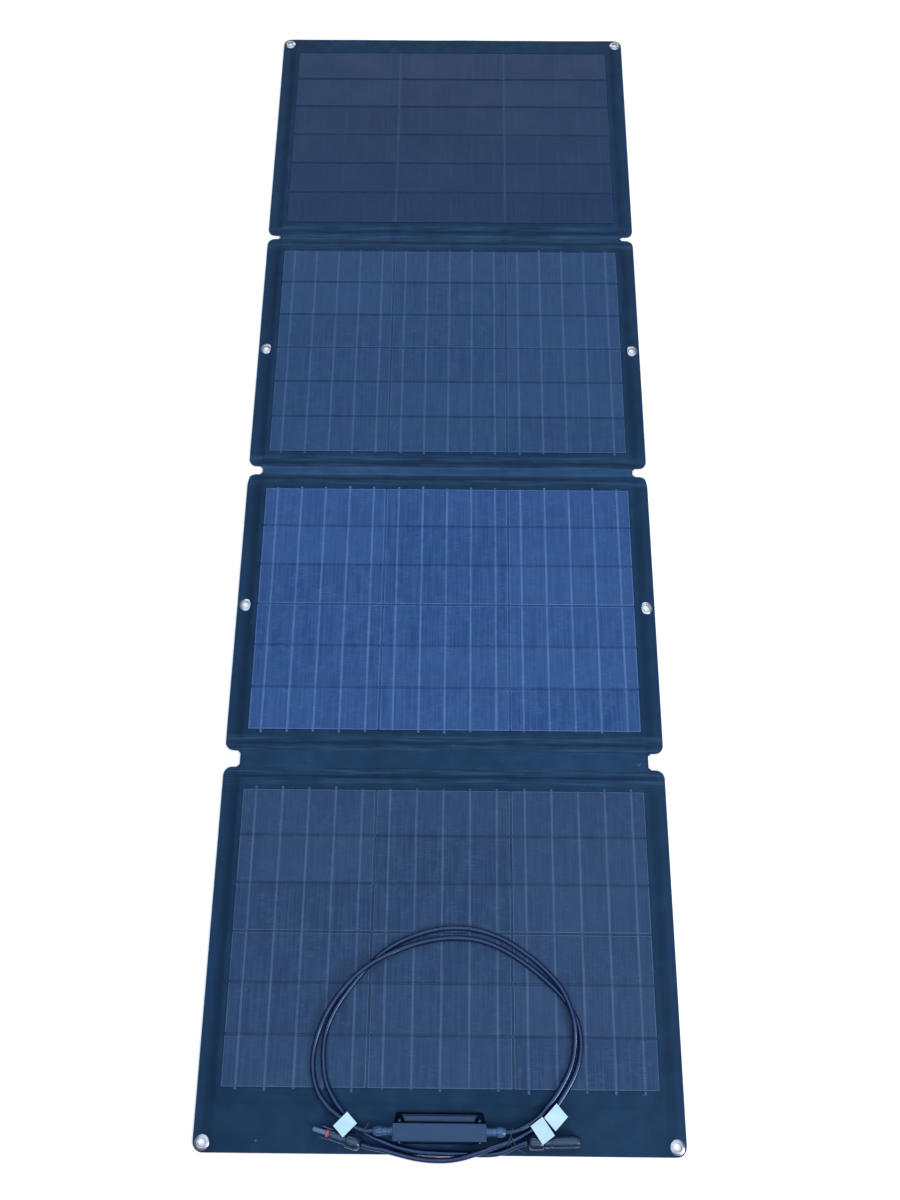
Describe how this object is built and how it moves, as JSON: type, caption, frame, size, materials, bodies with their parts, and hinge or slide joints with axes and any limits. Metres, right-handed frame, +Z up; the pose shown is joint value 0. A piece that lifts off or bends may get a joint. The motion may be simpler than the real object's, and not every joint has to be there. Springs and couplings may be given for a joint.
{
  "type": "folding solar panel",
  "caption": "Folding fabric solar panel laid flat: stiff leaves of dark cells, cloth folds, metal eyelets, a junction box and two coiled leads with connectors.",
  "frame": {"origin": "middle of the unfolded panel's outline, on the surface it lies on", "axes": "+X across the panel, +Y along it from the junction box to the far end, +Z up out of the cells"},
  "size_m": [0.525, 1.5653, 0.0192],
  "materials": {
    "back_cloth": "coated woven cloth, dark blue-black",
    "front_cloth": "woven cloth under a textured clear film, dark blue",
    "fold_cloth": "woven cloth, dark blue",
    "solar_cells": "dark blue cells with pale ribbons under a textured clear film",
    "board": "stiff plastic board",
    "copper": "bare copper ribbon",
    "eyelet": "bright rolled eyelet",
    "box_plastic": "satin black moulding",
    "connector_plastic": "satin black moulding",
    "rubber": "soft black rubber",
    "circuit_board": "green laminate",
    "steel": "plated steel",
    "lead_jacket": "smooth black cable jacket",
    "red_seal": "red sealing ring",
    "tag": "blank white label",
    "tie": "plastic-covered wire tie"
  },
  "bodies": {
    "leaf_1": {"back_fabric_1": "back_cloth", "board_1": "board", "cell_sheet_1": "solar_cells", "front_cover_1": "front_cloth", "eyelet_1_left": "eyelet", "eyelet_1_right": "eyelet"},
    "leaf_2": {"back_fabric_2": "back_cloth", "board_2": "board", "cell_sheet_2": "solar_cells", "front_cover_2": "front_cloth", "eyelet_2_left": "eyelet", "eyelet_2_right": "eyelet"},
    "leaf_3": {"back_fabric_3": "back_cloth", "board_3": "board", "cell_sheet_3": "solar_cells", "front_cover_3": "front_cloth", "eyelet_3_left": "eyelet", "eyelet_3_right": "eyelet"},
    "leaf_4": {"back_fabric_4": "back_cloth", "board_4": "board", "cell_sheet_4": "solar_cells", "front_cover_4": "front_cloth", "eyelet_4_left": "eyelet", "eyelet_4_right": "eyelet", "box_base": "box_plastic", "box_lid": "box_plastic", "box_gasket": "rubber", "diode_board": "circuit_board", "lid_screw_1": "steel", "lid_screw_2": "steel", "lid_screw_3": "steel", "lid_screw_4": "steel", "gland_body_left": "box_plastic", "gland_nut_left": "box_plastic", "gland_body_right": "box_plastic", "gland_nut_right": "box_plastic", "lead_right": "lead_jacket", "lead_left": "lead_jacket", "plug_body": "connector_plastic", "plug_nut": "connector_plastic", "socket_body": "connector_plastic", "socket_nut": "connector_plastic", "plug_seal": "red_seal", "tag_left": "tag", "tag_right_1": "tag", "tag_right_2": "tag", "tie_left": "tie", "tie_right": "tie"},
    "fold_1": {"fold_fabric_1": "fold_cloth", "fold_wire_1_left": "copper", "fold_wire_1_right": "copper"},
    "fold_2": {"fold_fabric_2": "fold_cloth", "fold_wire_2_left": "copper", "fold_wire_2_right": "copper"},
    "fold_3": {"fold_fabric_3": "fold_cloth", "fold_wire_3_left": "copper", "fold_wire_3_right": "copper"}
  },
  "joints": [
    {"name": "fold_3", "type": "hinge", "parent": "leaf_4", "child": "fold_3", "pos_m": [0, -0.367, 0.0019], "axis": [1, 0, 0], "range_deg": [0, 88], "deforming": ["fold_fabric_3", "fold_wire_3_left", "fold_wire_3_right"]},
    {"name": "fold_3_far_edge", "type": "hinge", "parent": "fold_3", "child": "leaf_3", "pos_m": [0, -0.347, 0.0019], "axis": [1, 0, 0], "range_deg": [0, 88]},
    {"name": "fold_2", "type": "hinge", "parent": "leaf_3", "child": "fold_2", "pos_m": [0, 0.0218, 0.0019], "axis": [1, 0, 0], "range_deg": [0, 89.75], "deforming": ["fold_fabric_2", "fold_wire_2_left", "fold_wire_2_right"]},
    {"name": "fold_2_far_edge", "type": "hinge", "parent": "fold_2", "child": "leaf_2", "pos_m": [0, 0.0342, 0.0019], "axis": [1, 0, 0], "range_deg": [0, 89.75]},
    {"name": "fold_1", "type": "hinge", "parent": "leaf_2", "child": "fold_1", "pos_m": [0, 0.3995, 0.0019], "axis": [1, 0, 0], "range_deg": [0, 90], "deforming": ["fold_fabric_1", "fold_wire_1_left", "fold_wire_1_right"]},
    {"name": "fold_1_far_edge", "type": "hinge", "parent": "fold_1", "child": "leaf_1", "pos_m": [0, 0.4065, 0.0019], "axis": [1, 0, 0], "range_deg": [0, 90]}
  ],
  "couplings": [
    {"joint": "fold_3_far_edge", "follows": "fold_3", "ratio": 1},
    {"joint": "fold_2_far_edge", "follows": "fold_2", "ratio": 1},
    {"joint": "fold_1_far_edge", "follows": "fold_1", "ratio": 1}
  ]
}
